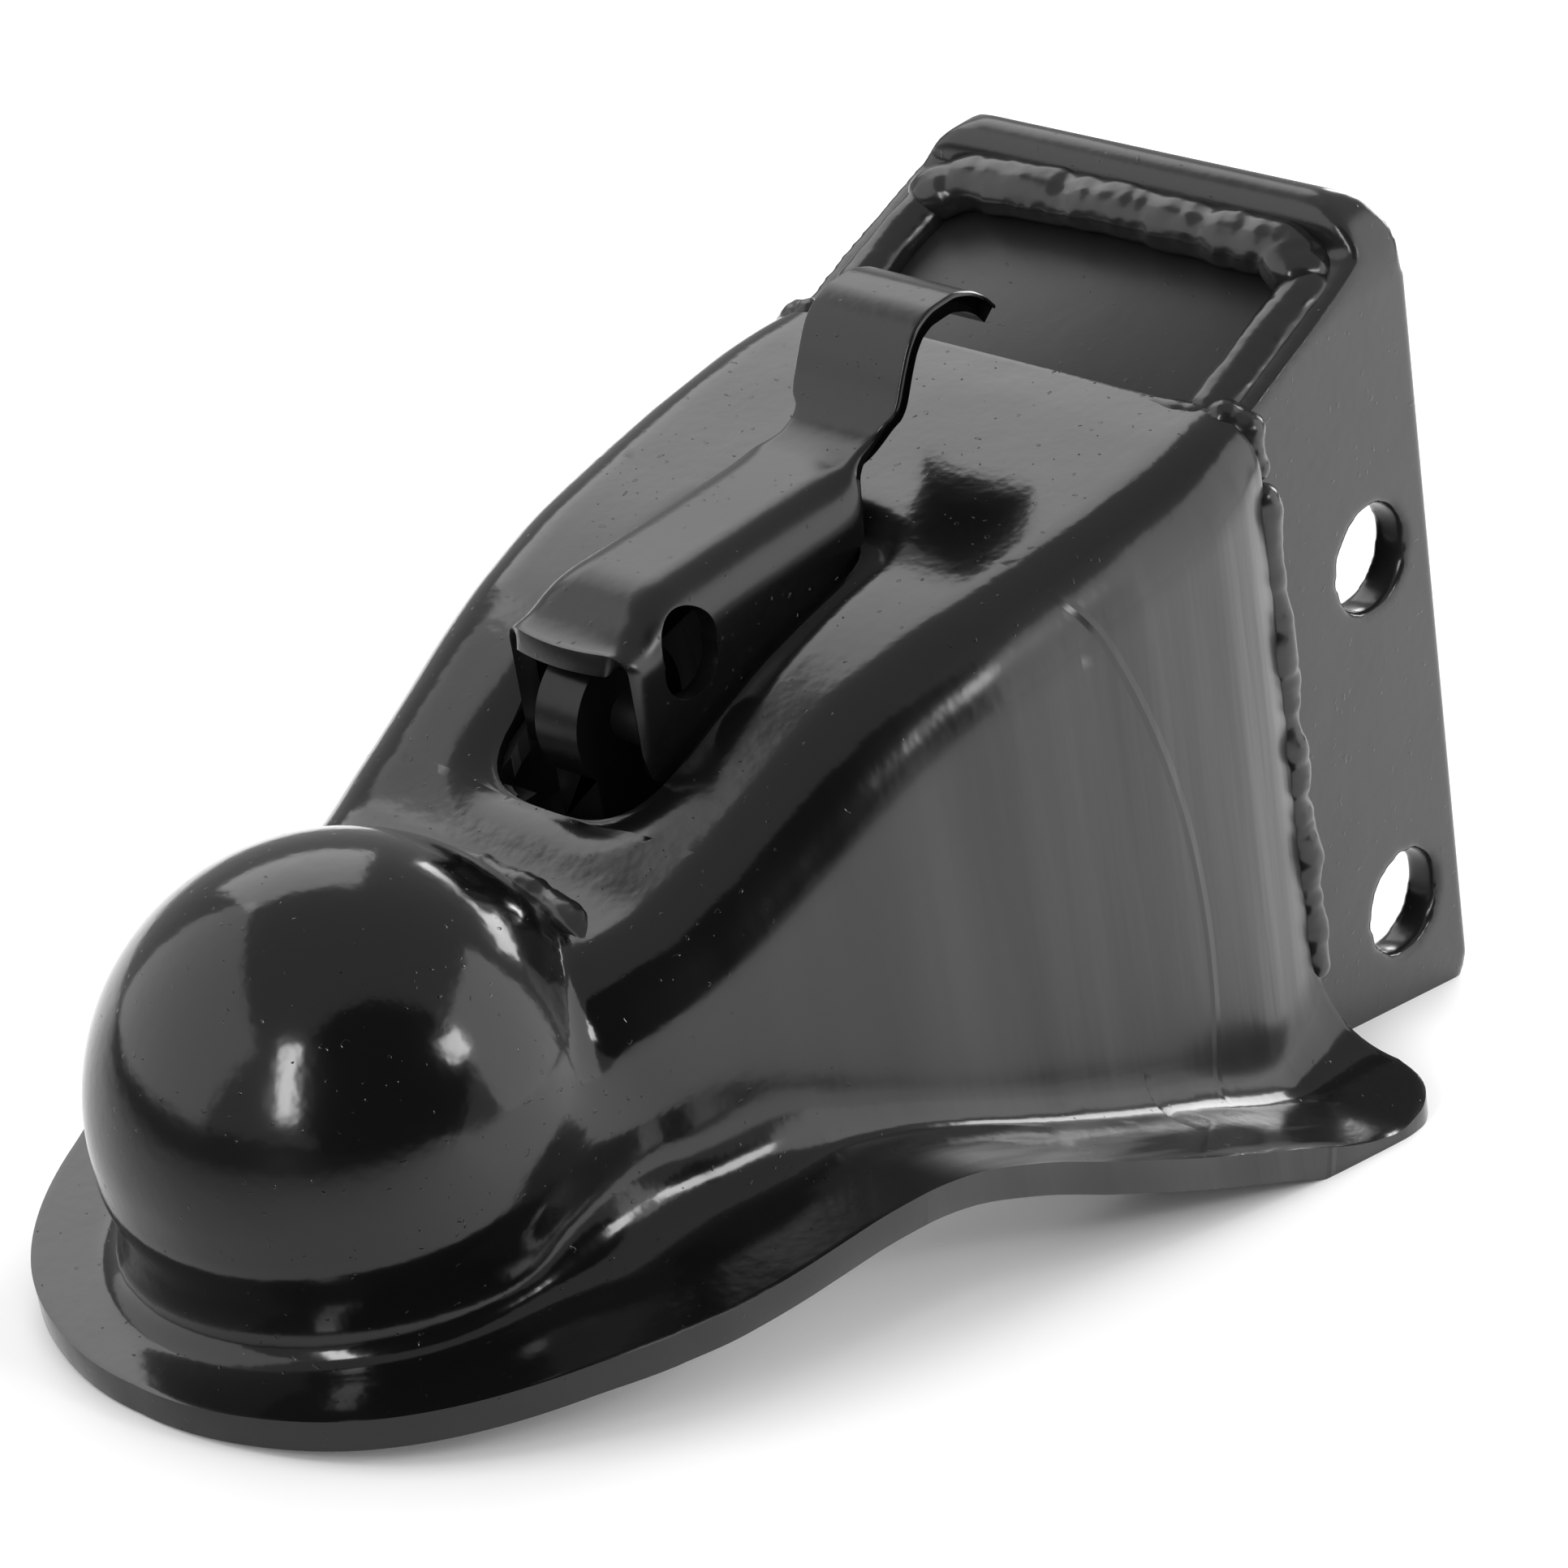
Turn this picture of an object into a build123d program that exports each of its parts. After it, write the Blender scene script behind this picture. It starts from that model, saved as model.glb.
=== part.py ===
from build123d import *
import os
from math import cos, sin, radians, sqrt

os.makedirs("parts", exist_ok=True)

# ---------------------------------------------------------------- sizes (mm)
# frame: origin at the ball centre, X across, Y back along the tow line, Z up
BALL_R = 29.37            # 2-5/16 in hitch ball
DOME_R = 37.5             # outside radius of the ball dome
WALL = 5.0                # pressed sheet
FLANGE_Z = -26.0          # underside of the front rim
FLANGE_T = 5.0
RIM_FRONT = 47.5
REAR_Y = 155.0            # rear edge of the pressed body
SLOT_Y0, SLOT_Y1, SLOT_W = 46.0, 108.0, 33.0

PLATE_X = 45.0            # outside face of the mounting band
PLATE_T = 6.5
BAND_TOP = 63.3
BAND_BOTTOM = -80.0
BAND_REAR = 199.0
HOLE_R = 8.75             # 11/16 in clearance hole for a 5/8 in bolt
HOLE_Y, HOLE_Z1, HOLE_Z2 = 184.2, 6.2, -57.3

PIN_Y, PIN_Z, PIN_R = 61.5, 31.0, 4.0
RUN_FIT = 0.05
LEVER_W, LEVER_T = 26.0, 3.2
STEM_R = 6.0
CLAMP_HALF = 12.4
GUIDE_IN = 12.8
GUIDE_T = 3.5
SPRING_R, SPRING_WIRE = 8.6, 1.2

# body stations: y, half width at base, half width at top, top height, shoulder radius
STATIONS = [
    (20.0, 37.0, 34.0, 17.0, 12.0),
    (45.0, 41.5, 38.0, 22.5, 14.0),
    (62.0, 45.0, 41.5, 30.0, 14.0),
    (80.0, 49.0, 45.5, 36.5, 14.0),
    (95.0, 51.0, 48.5, 39.5, 13.0),
    (125.0, 52.0, 50.0, 42.5, 10.5),
    (REAR_Y, 52.5, 50.3, 45.0, 8.0),
]
# underside of the flange seen from the side: y, z
FLANGE_LINE = [(-50.0, -26.0), (30.0, -26.0), (45.0, -27.5), (55.0, -30.0), (68.0, -35.5),
               (82.0, -43.5), (105.0, -55.5), (134.0, -66.5), (REAR_Y, -69.0)]
# half outline of the flange seen from above: x, y
FLANGE_PLAN = [(0.0, -47.5), (18.0, -45.3), (34.0, -37.2), (46.0, -24.8), (54.0, -10.5), (58.5, -1.0),
               (62.0, 10.0), (64.5, 24.0), (65.3, 40.0), (65.8, 55.0), (67.5, 70.0), (71.0, 85.0),
               (74.5, 105.0), (76.0, 134.0), (76.0, 144.0), (73.0, 151.0), (66.0, REAR_Y)]


def save(node, part):
    part.label = node
    export_step(part, "parts/" + node + ".step")


def yz_prism(pts, x0, x1):
    """Prism of a side-view outline (y, z) between two x values."""
    wire = Polyline(*[(x0, y, z) for y, z in pts], close=True)
    return extrude(make_face(wire), amount=x1 - x0, dir=(1, 0, 0))


def xy_prism(pts, z0, z1):
    wire = Polyline(*[(x, y, z0) for x, y in pts], close=True)
    return extrude(make_face(wire), amount=z1 - z0, dir=(0, 0, 1))


def box_at(x0, x1, y0, y1, z0, z1):
    return Pos((x0 + x1) / 2, (y0 + y1) / 2, (z0 + z1) / 2) * Box(x1 - x0, y1 - y0, z1 - z0)


def x_cyl(y, z, r, x0, x1):
    return Pos((x0 + x1) / 2, y, z) * Rot(0, 90, 0) * Cylinder(r, x1 - x0)


def z_cyl(x, y, r, z0, z1):
    return Pos(x, y, (z0 + z1) / 2) * Cylinder(r, z1 - z0)


def slot_block(inset, z0, z1, steps=10):
    """Squarish slot with well rounded ends, as a solid."""
    h, c = SLOT_W / 2 - inset, SLOT_W / 2
    y0, y1 = SLOT_Y0 + inset, SLOT_Y1 - inset
    quarter = []
    for k in range(steps + 1):
        a = radians(90 * k / steps)
        quarter.append((h * cos(a) ** (2 / 3), (c - inset) * sin(a) ** (2 / 3)))
    front = [(x, y0 + c - inset - v) for x, v in quarter]
    rear = [(x, y1 - c + inset + v) for x, v in reversed(quarter)]
    right = list(reversed(front)) + list(reversed(rear))
    left = [(-x, y) for x, y in reversed(right)]
    pts = []
    for p in right + left:
        if not pts or abs(p[0] - pts[-1][0]) + abs(p[1] - pts[-1][1]) > 0.02:
            pts.append((p[0], p[1]))
    if abs(pts[0][0] - pts[-1][0]) + abs(pts[0][1] - pts[-1][1]) < 0.02:
        pts.pop()
    return xy_prism(pts, z0, z1)


def section(y, wb, wt, top, rad, inset, bottom=-95.0):
    """Rounded upside-down U outline at one station, 24 points, as a face."""
    w_b, w_t, t, r = wb - inset, wt - inset, top - inset, max(rad - inset, 3.0)
    pts = [(-w_b, bottom), (-w_b, -25.0), (-w_t, t - r)]
    for k in range(1, 7):
        a = radians(90 * k / 6)
        pts.append((-w_t + r - r * cos(a), t - r + r * sin(a)))
    right = [(-x, z) for x, z in reversed(pts)]
    wire = Polyline(*[(x, y, z) for x, z in pts + right], close=True)
    return make_face(wire)


def hull(inset, y_pad):
    st = [list(s) for s in STATIONS]
    st[-1][0] += y_pad
    return loft([section(*s, inset) for s in st], ruled=True)


def body():
    outer = hull(0.0, 0.0)
    outer = outer + Sphere(DOME_R) + z_cyl(0, 0, DOME_R, -30, 0)
    top = [(200.0, 120.0), (-90.0, 120.0)]
    line = [(y, z) for y, z in FLANGE_LINE]
    keep = yz_prism([(-90.0, FLANGE_Z)] + line + [(200.0, line[-1][1])] + top, -100, 100)
    outer = outer & keep
    strip = line + [(y, z + FLANGE_T) for y, z in reversed(line)]
    half = FLANGE_PLAN
    plan = half + [(-x, y) for x, y in reversed(half)][:-1]
    flange = yz_prism(strip, -100, 100) & xy_prism(plan, -100, 20)
    shell = outer + flange
    inner = hull(WALL, 1.0)
    inner = inner + Sphere(DOME_R - WALL) + z_cyl(0, 0, DOME_R - WALL, -60, 0)
    shell = shell - inner
    return shell - slot_block(0.0, 0, 70)


def mount_band():
    """Upside-down U strap, cut to the sloped front edge, with two bolt holes."""
    side = [(REAR_Y - 13.0, BAND_BOTTOM + 8.0), (REAR_Y - 5.0, BAND_BOTTOM), (BAND_REAR - 5.0, BAND_BOTTOM),
            (BAND_REAR, BAND_BOTTOM + 5.0), (BAND_REAR, BAND_TOP), (BAND_REAR - 6.0, BAND_TOP),
            (BAND_REAR - 9.0, 55.6), (REAR_Y + 1.0, 43.0), (REAR_Y - 1.0, 36.0), (REAR_Y - 13.0, 30.0)]
    block = yz_prism(side, -PLATE_X, PLATE_X)
    r_out, r_in = 12.0, 5.5
    prof = Pos(0, 0, (BAND_TOP + BAND_BOTTOM) / 2) * Box(2 * PLATE_X, 500, BAND_TOP - BAND_BOTTOM)
    top_edges = prof.edges().filter_by(Axis.Y).group_by(Axis.Z)[-1]
    prof = fillet(top_edges, r_out)
    inner_top = BAND_TOP - PLATE_T
    cav = Pos(0, 0, (inner_top - 150.0) / 2) * Box(2 * (PLATE_X - PLATE_T), 600, inner_top + 150.0)
    cav_edges = cav.edges().filter_by(Axis.Y).group_by(Axis.Z)[-1]
    cav = fillet(cav_edges, r_in)
    band = (block & prof) - cav
    for z in (HOLE_Z1, HOLE_Z2):
        band = band - x_cyl(HOLE_Y, z, HOLE_R, -60, 60)
    return band


FACE_IN = PLATE_X - PLATE_T
FACE_A, FACE_B = (150.5, 38.8), (192.2, 54.2)
FACE_T = 4.5


def face_plate():
    (ya, za), (yb, zb) = FACE_A, FACE_B
    n = sqrt((yb - ya) ** 2 + (zb - za) ** 2)
    dy, dz = (zb - za) / n * FACE_T, -(yb - ya) / n * FACE_T
    pts = [(ya, za), (yb, zb), (yb + dy, zb + dz), (ya + dy, za + dz)]
    return yz_prism(pts, -FACE_IN + 0.02, FACE_IN - 0.02)


def bead(pts, r):
    """Rounded bead along a list of points."""
    out = None
    for a, b in zip(pts[:-1], pts[1:]):
        va, vb = Vector(*a), Vector(*b)
        d = vb - va
        c = Plane(origin=va, z_dir=d) * Cylinder(r, d.length, align=(Align.CENTER, Align.CENTER, Align.MIN))
        out = c if out is None else out + c
        out = out + Pos(*b) * Sphere(r)
    return out + Pos(*pts[0]) * Sphere(r)


def lever():
    w = LEVER_W / 2
    outer = [(54.4, 31.0), (55.4, 26.5), (58.6, 23.9), (64.0, 23.7), (67.5, 26.0), (69.5, 32.6),
             (96.0, 36.0), (101.0, 45.0), (110.0, 47.0), (112.0, 50.0), (66.0, 50.0), (61.0, 48.0),
             (57.0, 44.5), (55.4, 40.0)]
    wall_l = yz_prism(outer, -w, -w + LEVER_T)
    wall_r = yz_prism(outer, w - LEVER_T, w)
    roof = yz_prism([(57.0, 44.5), (61.0, 48.0), (66.0, 50.0), (112.0, 50.0), (112.0, 46.8), (66.8, 46.8),
                     (62.4, 45.0), (58.4, 41.6)], -w, w)
    body_ = wall_l + wall_r + roof
    corner = [e for e in body_.edges() if e.length > 30 and abs(abs(e.center().X) - w) < 0.01
              and e.center().Z > 49]
    body_ = fillet(corner, 4.0)
    curl = [(110.0, 50.0), (116.0, 51.2), (119.0, 53.5), (123.0, 61.0), (126.5, 65.0), (131.0, 67.0),
            (136.0, 67.0), (140.5, 65.2), (144.5, 61.5), (142.0, 59.0), (138.8, 61.8), (135.5, 63.2),
            (131.5, 63.2), (128.8, 62.0), (126.0, 58.8), (122.0, 51.5), (118.0, 47.6), (110.0, 46.8)]
    tab = yz_prism(curl, -10, 10)
    out = body_ + tab
    out = out - x_cyl(PIN_Y, PIN_Z, PIN_R, -w - 1, w + 1)
    hole = x_cyl(67.0, 38.9, 5.6, 5, 20) + x_cyl(67.4, 41.4, 5.6, 5, 20)
    return out - hole


def yoke():
    """Eye head inside the lever, flat shank and threaded stem down to the clamp."""
    head = x_cyl(PIN_Y, PIN_Z, 11.0, -4.2, 4.2)
    neck = box_at(-4.2, 4.2, PIN_Y - 8.5, PIN_Y + 8.5, 15.0, PIN_Z)
    stem = z_cyl(0, PIN_Y, STEM_R, -36.0, 17.0)
    stem = chamfer(stem.edges().group_by(Axis.Z)[0], 1.0)
    out = head + neck + stem
    return out - x_cyl(PIN_Y, PIN_Z, PIN_R + RUN_FIT, -12, 12)


def lever_pin():
    w = LEVER_W / 2
    p = x_cyl(PIN_Y, PIN_Z, PIN_R, -w + 0.05, w - 0.05)
    return chamfer(p.edges().filter_by(GeomType.CIRCLE), 0.4)


def slot_liner():
    """Two wear pads in the slot's front corners, sunk below the rim, each with a saddle foot."""
    ring = slot_block(0.02, 10, 60) - slot_block(1.3, 9, 61)
    env = yz_prism([(42.0, 15.4), (60.0, 21.8), (60.0, 25.6), (42.0, 18.4)], -20, 20)
    ring = (ring & env) - box_at(-13.9, 13.9, 49.0, 90.0, 5, 64) - box_at(-8.0, 8.0, 40.0, 60.0, 5, 64)
    feet = [box_at(min(s * 9.0, s * 15.6), max(s * 9.0, s * 15.6), 46.3, 52.6, 14.6, 18.4) for s in (-1, 1)]
    return ring + feet[0] + feet[1]


def clamp_guide(shell):
    x0, x1 = GUIDE_IN, GUIDE_IN + GUIDE_T
    pts = [(42.0, 3.0), (50.0, -22.0), (82.0, -22.0), (86.0, 60.0), (42.0, 60.0)]
    plates = yz_prism(pts, x0, x1 + 3.5) + yz_prism(pts, -x1 - 3.5, -x0)
    plates = plates + box_at(-x1, x1, 43.0, 84.0, 8.0, 11.0)
    plates = plates - z_cyl(0, PIN_Y, 7.4, 0, 20)
    hull_in = hull(WALL, 1.0)
    plates = plates & hull_in
    return plates - box_at(-SLOT_W / 2, SLOT_W / 2, 30, 120, 11.0, 80) - shell


def ball_clamp():
    y0, y1, z0, z1 = 18.0, 76.0, -20.0, -8.0
    b = box_at(-CLAMP_HALF, CLAMP_HALF, 44.0, y1, z0, z1)
    b = b + yz_prism([(y0, -24.0), (y0, -12.0), (28.0, -1.0), (36.0, 1.0), (46.0, -8.0), (46.0, z0),
                      (36.0, -25.0)], -CLAMP_HALF, CLAMP_HALF)
    b = b - Sphere(BALL_R + 0.35)
    hole = box_at(-6.6, 6.6, PIN_Y - 4.4, PIN_Y, z0 - 2, z1 + 2)
    hole = hole + z_cyl(0, PIN_Y, 6.6, z0 - 2, z1 + 2) + z_cyl(0, PIN_Y - 4.4, 6.6, z0 - 2, z1 + 2)
    return b - hole


def washer(z0, z1, ro):
    return z_cyl(0, PIN_Y, ro, z0, z1) - z_cyl(0, PIN_Y, STEM_R, z0 - 1, z1 + 1)


def hex_nut(z0, z1, flats):
    n = extrude(Pos(0, PIN_Y, z0) * RegularPolygon(flats / sqrt(3), 6), amount=z1 - z0)
    return n - z_cyl(0, PIN_Y, STEM_R, z0 - 1, z1 + 1)


def spring(z0, z1, turns):
    pitch = (z1 - z0) / turns
    path = Helix(pitch, z1 - z0, SPRING_R)
    prof = Plane(origin=path @ 0, z_dir=path % 0) * Circle(SPRING_WIRE)
    return Pos(0, PIN_Y, z0) * sweep(prof, path)


shell = body()
save("coupler_body", shell)
band = mount_band() - shell
save("mount_band", band)
fp = face_plate() - shell
save("face_plate", fp)

FX = FACE_IN
solid_parts = [shell, band, fp]


def weld(pts, r):
    b = bead(pts, r)
    for s in solid_parts:
        b = b - s
    sol = b.solids()
    return max(sol, key=lambda q: q.volume) if len(sol) > 1 else b


save("weld_face_top", weld([(-FX + 6, 190.6, 54.6), (FX - 6, 190.6, 54.6)], 4.0))
save("weld_face_left", weld([(-FX + 0.8, 162.4, 44.0), (-FX + 0.8, 182.6, 51.5)], 3.0))
save("weld_face_right", weld([(FX - 0.8, 162.4, 44.0), (FX - 0.8, 182.6, 51.5)], 3.0))
save("weld_body_top", weld([(-FX + 4, 154.6, 42.2), (FX - 4, 154.6, 42.2)], 4.0))
for sgn, name in ((-1, "left"), (1, "right")):
    save("weld_side_" + name, weld([(sgn * 46.6, 156.2, -52.0), (sgn * 46.6, 156.2, 26.0)], 3.2))
    save("weld_corner_" + name, weld([(sgn * 44.0, 156.6, 42.0), (sgn * 46.4, 156.2, 34.5)], 4.0))
dome_pts = []
for k in range(9):
    a = radians(-52 + 13 * k)
    x, y = 33.5 * sin(a), 33.5 * cos(a) * 1.0
    dome_pts.append((x, y, 19.6 - 8.0 * (a / 0.9) ** 2))
save("weld_dome", weld(dome_pts, 2.6))

save("lever", lever())
save("lever_pin", lever_pin())
save("yoke", yoke())
liner = slot_liner() - shell
big = sorted(liner.solids(), key=lambda q: -q.volume)
big = [q for q in big if q.volume > 15]
save("slot_liner", big[0] if len(big) == 1 else Compound(children=big))
save("clamp_guide", clamp_guide(shell))
save("ball_clamp", ball_clamp())
save("stem_washer", washer(-22.1, -20.1, 9.5))
save("adjusting_nut", hex_nut(-32.0, -22.1, 18.0))
save("clamp_spring", spring(-6.6, 6.6, 3.5))
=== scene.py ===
import math
import random

import bpy
import numpy as np
from mathutils import Matrix, Vector


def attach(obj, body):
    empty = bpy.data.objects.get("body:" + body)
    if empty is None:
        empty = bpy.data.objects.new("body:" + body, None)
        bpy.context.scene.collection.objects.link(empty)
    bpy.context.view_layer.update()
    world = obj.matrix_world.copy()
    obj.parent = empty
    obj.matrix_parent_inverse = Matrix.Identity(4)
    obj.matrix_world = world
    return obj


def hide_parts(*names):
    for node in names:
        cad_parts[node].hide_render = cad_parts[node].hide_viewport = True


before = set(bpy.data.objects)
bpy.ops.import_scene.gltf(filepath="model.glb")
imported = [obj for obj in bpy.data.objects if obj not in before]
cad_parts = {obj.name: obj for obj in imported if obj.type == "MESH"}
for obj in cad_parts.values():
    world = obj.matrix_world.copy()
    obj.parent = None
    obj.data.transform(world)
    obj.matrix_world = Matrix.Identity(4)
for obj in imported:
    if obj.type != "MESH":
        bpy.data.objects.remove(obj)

bl_info = {
    "name": "Channel-mount trailer coupler",
    "version": (1, 0, 0),
    "blender": (4, 5, 0),
    "location": "View3D > Sidebar > Coupler",
    "description": "Builds the look of a pressed-steel trailer ball coupler with a lever latch",
    "category": "Object",
}

MM = 0.001


# ------------------------------------------------------------------ settings
class CouplerSettings(bpy.types.PropertyGroup):
    """Sizes and colours of the coupler."""
    dome_radius: bpy.props.FloatProperty(
        name="Dome radius", description="Outside radius of the ball dome", default=0.0375, unit="LENGTH")
    wall: bpy.props.FloatProperty(
        name="Sheet thickness", description="Thickness of the pressed body", default=0.005, unit="LENGTH")
    slot_width: bpy.props.FloatProperty(
        name="Slot width", description="Width of the slot the latch passes through", default=0.033,
        unit="LENGTH")
    plate_half: bpy.props.FloatProperty(
        name="Bracket half width", description="Outside half width of the mounting band", default=0.045,
        unit="LENGTH")
    plate_thick: bpy.props.FloatProperty(
        name="Bracket thickness", description="Thickness of the mounting band", default=0.0065,
        unit="LENGTH")
    hole_radius: bpy.props.FloatProperty(
        name="Bolt hole radius", description="Radius of the holes for the bracket bolts", default=0.00875,
        unit="LENGTH")
    lever_half: bpy.props.FloatProperty(
        name="Lever half width", description="Outside half width of the latch lever", default=0.013,
        unit="LENGTH")
    lever_thick: bpy.props.FloatProperty(
        name="Lever sheet", description="Thickness of the lever's sheet", default=0.0032, unit="LENGTH")
    paint: bpy.props.FloatVectorProperty(
        name="Paint", description="Colour of the gloss black enamel", subtype="COLOR", size=3,
        default=(0.0040, 0.0040, 0.0043))
    satin: bpy.props.FloatVectorProperty(
        name="Satin paint", description="Colour of the duller enamel on bracket, welds and latch",
        subtype="COLOR", size=3, default=(0.011, 0.011, 0.0115))
    zinc: bpy.props.FloatVectorProperty(
        name="Zinc", description="Colour of the plated fasteners", subtype="COLOR", size=3,
        default=(0.62, 0.60, 0.54))
    iron: bpy.props.FloatVectorProperty(
        name="Cast iron", description="Colour of the ball clamp", subtype="COLOR", size=3,
        default=(0.06, 0.06, 0.062))
    floor: bpy.props.FloatVectorProperty(
        name="Floor", description="Colour of the studio floor", subtype="COLOR", size=3,
        default=(0.93, 0.93, 0.93))


def settings():
    return bpy.context.scene.coupler


# ------------------------------------------------------------------ helpers
def deselect():
    if bpy.context.mode != "OBJECT":
        bpy.ops.object.mode_set(mode="OBJECT")
    for o in bpy.context.selected_objects:
        o.select_set(False)


def activate(o):
    deselect()
    o.select_set(True)
    bpy.context.view_layer.objects.active = o
    return o


def edit(o, run):
    activate(o)
    bpy.ops.object.mode_set(mode="EDIT")
    bpy.ops.mesh.select_all(action="SELECT")
    run()
    bpy.ops.object.mode_set(mode="OBJECT")
    return o


def freeze(o):
    activate(o)
    bpy.ops.object.transform_apply(location=True, rotation=True, scale=True)
    return o


def modifier(o, kind, **values):
    """Adds a modifier, sets it and applies it."""
    activate(o)
    bpy.ops.object.modifier_add(type=kind)
    m = o.modifiers[-1]
    for k, v in values.items():
        setattr(m, k, v)
    bpy.ops.object.modifier_apply(modifier=m.name)
    return o


def outward(o):
    return edit(o, lambda: bpy.ops.mesh.normals_make_consistent(inside=False))


def smooth(o, angle=40):
    activate(o)
    bpy.ops.object.shade_smooth_by_angle(angle=math.radians(angle))
    return o


def name(o, text):
    o.name = text
    o.data.name = text
    return o


def cylinder(p, axis, r, length, verts=64):
    """Cylinder centred at p (mm) along 'X', 'Y' or 'Z'."""
    rot = {"X": (0, math.pi / 2, 0), "Y": (math.pi / 2, 0, 0), "Z": (0, 0, 0)}[axis]
    deselect()
    bpy.ops.mesh.primitive_cylinder_add(vertices=verts, radius=r * MM, depth=length * MM,
                                        location=[v * MM for v in p], rotation=rot)
    return freeze(bpy.context.object)


def cube(lo, hi):
    deselect()
    bpy.ops.mesh.primitive_cube_add(size=1, location=[(a + b) / 2 * MM for a, b in zip(lo, hi)])
    o = bpy.context.object
    o.scale = [(b - a) * MM for a, b in zip(lo, hi)]
    return freeze(o)


def prism(points, normal, start, depth):
    """Closed outline drawn from a circle primitive and extruded along 'X' or 'Y' (mm)."""
    deselect()
    bpy.ops.mesh.primitive_circle_add(vertices=len(points), fill_type="NGON", radius=1)
    o = bpy.context.object
    for v, (a, b) in zip(o.data.vertices, points):
        v.co = Vector((start, a, b)) * MM if normal == "X" else Vector((a, start, b)) * MM
    move = (depth * MM, 0, 0) if normal == "X" else (0, depth * MM, 0)
    edit(o, lambda: bpy.ops.mesh.extrude_region_move(TRANSFORM_OT_translate={"value": move}))
    return outward(o)


def combine(o, other, how):
    modifier(o, "BOOLEAN", operation=how, object=other, solver="EXACT")
    bpy.data.objects.remove(other, do_unlink=True)
    return o


def grid_mesh(label, rows):
    """Structured surface from rows of points (metres). Used where a sheet follows a law that
    primitives can't give; doubles are merged afterwards."""
    n, m = len(rows), len(rows[0])
    verts = [tuple(p) for r in rows for p in r]
    faces = [(i * m + j, i * m + j + 1, (i + 1) * m + j + 1, (i + 1) * m + j)
             for i in range(n - 1) for j in range(m - 1)]
    mesh = bpy.data.meshes.new(label)
    mesh.from_pydata(verts, [], faces)
    o = bpy.data.objects.new(label, mesh)
    bpy.context.scene.collection.objects.link(o)
    return edit(o, lambda: bpy.ops.mesh.remove_doubles(threshold=2e-5))


def join(objs):
    deselect()
    for o in objs:
        o.select_set(True)
    bpy.context.view_layer.objects.active = objs[0]
    bpy.ops.object.join()
    return bpy.context.object


def mirrored_sheet(label, rows, merge):
    """The half drawn by rows and its mirror image, as one sheet whose upper side faces out."""
    right = grid_mesh(label + "_right", rows)
    left = grid_mesh(label + "_left", [np.array(r) * (-1, 1, 1) for r in rows])
    o = join([right, left])
    edit(o, lambda: bpy.ops.mesh.remove_doubles(threshold=merge))
    outward(o)
    if sum(p.normal.z * p.area for p in o.data.polygons) < 0:
        edit(o, lambda: bpy.ops.mesh.flip_normals())
    return o


# ------------------------------------------------------------------ shader helpers
# input and output numbers of the Mix node for each kind of data
MIX_SOCKETS = {"VECTOR": (4, 5, 1), "RGBA": (6, 7, 2)}


def feed(t, socket, value):
    """Links a node's output to a socket, or sets the socket to a constant."""
    if isinstance(value, bpy.types.NodeSocket):
        t.links.new(value, socket)
    else:
        socket.default_value = value


def math_node(t, operation, *values):
    n = t.nodes.new("ShaderNodeMath")
    n.operation = operation
    for socket, value in zip(n.inputs, values):
        feed(t, socket, value)
    return n.outputs[0]


def axes(t, kind):
    """X, Y and Z of the object's own position ("Object") or surface direction ("Normal")."""
    tc, sep = t.nodes.new("ShaderNodeTexCoord"), t.nodes.new("ShaderNodeSeparateXYZ")
    t.links.new(tc.outputs[kind], sep.inputs[0])
    return sep.outputs


def span(t, value, lo, hi, out_lo=0.0, out_hi=1.0):
    """Value stretched from lo..hi to out_lo..out_hi, and held at the ends."""
    n = t.nodes.new("ShaderNodeMapRange")
    for label, v in (("Value", value), ("From Min", lo), ("From Max", hi), ("To Min", out_lo),
                     ("To Max", out_hi)):
        feed(t, n.inputs[label], v)
    return n.outputs["Result"]


def blend(t, kind, factor, a, b):
    """Mix of two vectors or colours, each a socket or a constant."""
    n = t.nodes.new("ShaderNodeMix")
    n.data_type = kind
    first, second, result = MIX_SOCKETS[kind]
    for number, value in ((0, factor), (first, a), (second, b)):
        feed(t, n.inputs[number], value)
    return n.outputs[result]


def noise(t, scale, detail=2.0, stretch=(1, 1, 1)):
    """Noise over the object's own coordinates, stretched along its axes."""
    tc, mp = t.nodes.new("ShaderNodeTexCoord"), t.nodes.new("ShaderNodeMapping")
    mp.inputs["Scale"].default_value = stretch
    nz = t.nodes.new("ShaderNodeTexNoise")
    nz.inputs["Scale"].default_value = scale
    nz.inputs["Detail"].default_value = detail
    t.links.new(tc.outputs["Object"], mp.inputs["Vector"])
    t.links.new(mp.outputs["Vector"], nz.inputs["Vector"])
    return nz.outputs["Fac"]


def ramp(t, value, lo, hi, a=(0, 0, 0, 1), b=(1, 1, 1, 1)):
    r = t.nodes.new("ShaderNodeValToRGB")
    for stop, position, colour in zip(r.color_ramp.elements, (lo, hi), (a, b)):
        stop.position, stop.color = position, colour
    t.links.new(value, r.inputs["Fac"])
    return r.outputs["Color"]


def bump(t, height, strength, distance, normal=None):
    b = t.nodes.new("ShaderNodeBump")
    b.inputs["Strength"].default_value = strength
    b.inputs["Distance"].default_value = distance
    t.links.new(height, b.inputs["Height"])
    if normal is not None:
        t.links.new(normal, b.inputs["Normal"])
    return b.outputs["Normal"]


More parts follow.
